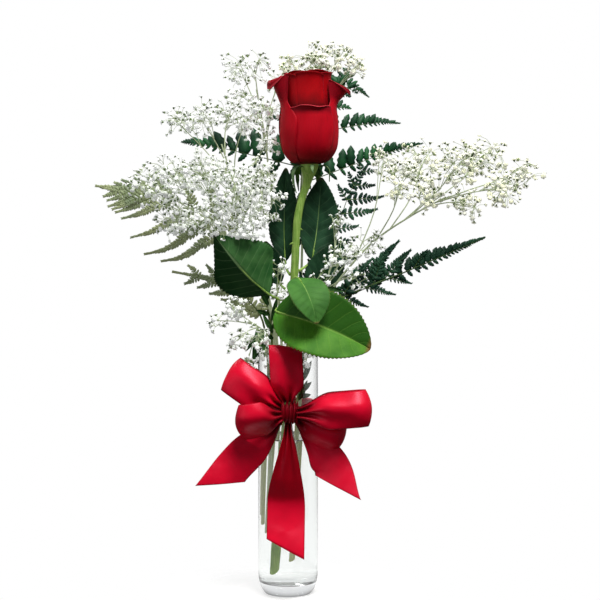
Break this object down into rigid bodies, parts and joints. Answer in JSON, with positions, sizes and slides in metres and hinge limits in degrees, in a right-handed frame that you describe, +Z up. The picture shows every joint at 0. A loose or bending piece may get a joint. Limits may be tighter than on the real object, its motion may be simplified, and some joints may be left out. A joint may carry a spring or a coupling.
{
  "type": "rose in a bud vase",
  "caption": "Cut red rose with fern and baby's breath, standing in water in a straight clear-glass bud vase with a satin ribbon bow tied round it.",
  "frame": {"origin": "centre of the vase's underside, on the surface it stands on", "axes": "+Z up along the vase, -Y towards the bow's side, +X to the right seen from the bow's side"},
  "size_m": [0.3325, 0.1116, 0.4213],
  "materials": {
    "clear_glass": "clear, polished",
    "water": "clear water at rest",
    "rose_stem": "green skin, satin",
    "sepal": "matt green, soft hair",
    "petal": "velvet, deep red",
    "rose_leaf": "waxy green, veined",
    "fern": "leathery dark green",
    "breath": "matt white flowers on grey-green stalks",
    "satin": "red satin weave, bright sheen"
  },
  "bodies": {
    "root": {"glass_vase": "clear_glass", "water": "water", "rose_stem": "rose_stem", "rose_sepal_1": "sepal", "rose_sepal_2": "sepal", "rose_sepal_3": "sepal", "rose_sepal_4": "sepal", "rose_sepal_5": "sepal", "petal_heart": "petal", "petal_inner_1": "petal", "petal_inner_2": "petal", "petal_inner_3": "petal", "petal_inner_4": "petal", "petal_inner_5": "petal", "petal_middle_1": "petal", "petal_middle_2": "petal", "petal_middle_3": "petal", "petal_middle_4": "petal", "petal_middle_5": "petal", "petal_outer_1": "petal", "petal_outer_2": "petal", "petal_outer_3": "petal", "petal_outer_4": "petal", "petal_outer_5": "petal", "rose_leaf_front": "rose_leaf", "rose_leaf_over": "rose_leaf", "rose_leaf_left": "rose_leaf", "rose_leaf_back_left": "rose_leaf", "rose_leaf_back_right": "rose_leaf", "rose_leaf_low_right": "rose_leaf", "rose_leaf_upper": "rose_leaf", "fern_left": "fern", "fern_low_left": "fern", "fern_back": "fern", "fern_mid_right": "fern", "fern_right": "fern", "breath_top_right": "breath", "breath_top_left": "breath", "breath_upper_left": "breath", "breath_left": "breath", "breath_low_left": "breath", "breath_right": "breath", "breath_middle": "breath", "breath_rim": "breath", "ribbon_band": "satin", "ribbon_knot": "satin", "ribbon_loop_top": "satin", "ribbon_loop_upper_left": "satin", "ribbon_loop_lower_left": "satin", "ribbon_loop_right": "satin", "ribbon_loop_lower_right": "satin", "ribbon_tail_left": "satin", "ribbon_tail_middle": "satin", "ribbon_tail_right": "satin"}
  },
  "joints": []
}
